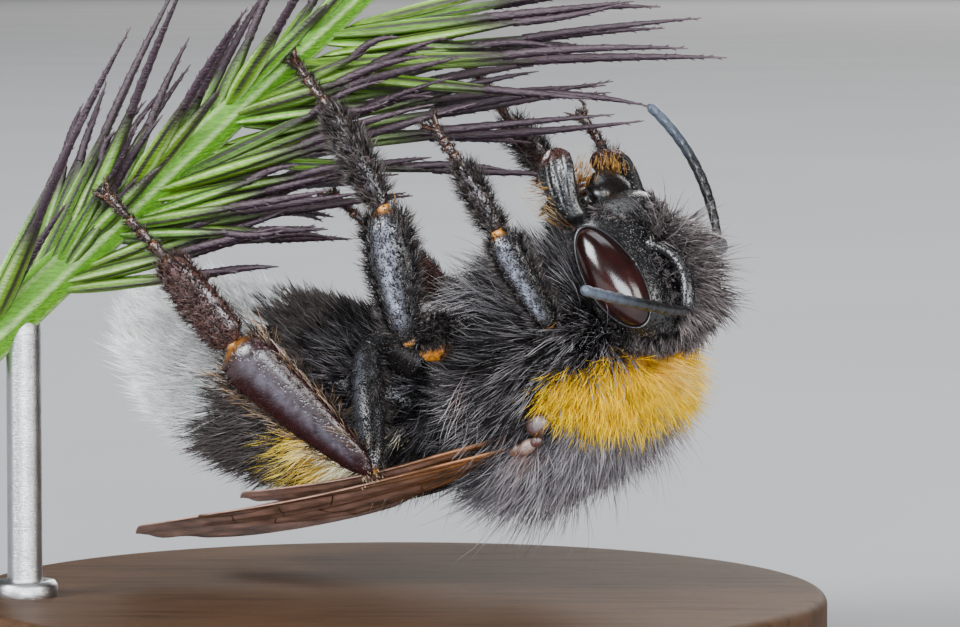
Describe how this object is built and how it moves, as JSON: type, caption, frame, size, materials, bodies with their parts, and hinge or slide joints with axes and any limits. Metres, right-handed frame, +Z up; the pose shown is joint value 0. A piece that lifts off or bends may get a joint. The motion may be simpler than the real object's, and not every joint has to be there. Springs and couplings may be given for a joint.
{
  "type": "bumblebee",
  "caption": "Life-size still model of a worker buff-tailed bumblebee hanging belly up from a cut length of awned grass, held over a flat base by a rod.",
  "frame": {"origin": "the centre of the underside of the stand's base", "axes": "+Z up; +X toward the bee's head, as the picture looks along +Y; -Y toward the viewer"},
  "size_m": [0.0202, 0.02, 0.0164],
  "materials": {
    "coat": "dense soft hair: black-brown, with a deep yellow collar, a paler yellow band on the abdomen and a white tail",
    "shell": "glossy black-brown shell, finely pitted, with short hairs",
    "foot": "dark red-brown shell under dense short hairs",
    "eye": "very dark red-brown compound eye with a wet gloss and fine facets",
    "wing": "thin smoky brown membrane with darker brown veins",
    "grass": "fresh green husks with whitish ribs and rough dark purple bristles",
    "stand_wood": "dark stained wood, satin",
    "stand_steel": "fine brushed steel rod"
  },
  "bodies": {
    "root": {"abdomen": "coat", "basitarsus_fore_left": "foot", "basitarsus_fore_right": "foot", "basitarsus_hind_left": "foot", "basitarsus_hind_right": "foot", "basitarsus_mid_left": "foot", "basitarsus_mid_right": "foot", "eye_left": "eye", "eye_right": "eye", "femur_fore_left": "shell", "femur_fore_right": "shell", "femur_hind_left": "shell", "femur_hind_right": "shell", "femur_mid_left": "shell", "femur_mid_right": "shell", "flagellum_left": "shell", "flagellum_right": "shell", "forewing_left": "wing", "forewing_right": "wing", "head": "coat", "hindwing_left": "wing", "hindwing_right": "wing", "mandible_left": "shell", "mandible_right": "shell", "perch_spikelet_1": "grass", "perch_spikelet_10": "grass", "perch_spikelet_11": "grass", "perch_spikelet_12": "grass", "perch_spikelet_13": "grass", "perch_spikelet_2": "grass", "perch_spikelet_3": "grass", "perch_spikelet_4": "grass", "perch_spikelet_5": "grass", "perch_spikelet_6": "grass", "perch_spikelet_7": "grass", "perch_spikelet_8": "grass", "perch_spikelet_9": "grass", "perch_stalk": "grass", "proboscis": "shell", "scape_left": "shell", "scape_right": "shell", "stand_base": "stand_wood", "stand_rod": "stand_steel", "tarsus_fore_left": "foot", "tarsus_fore_right": "foot", "tarsus_hind_left": "foot", "tarsus_hind_right": "foot", "tarsus_mid_left": "foot", "tarsus_mid_right": "foot", "tegula_left": "shell", "tegula_right": "shell", "thorax": "coat", "tibia_fore_left": "shell", "tibia_fore_right": "shell", "tibia_hind_left": "shell", "tibia_hind_right": "shell", "tibia_mid_left": "shell", "tibia_mid_right": "shell"}
  },
  "joints": []
}
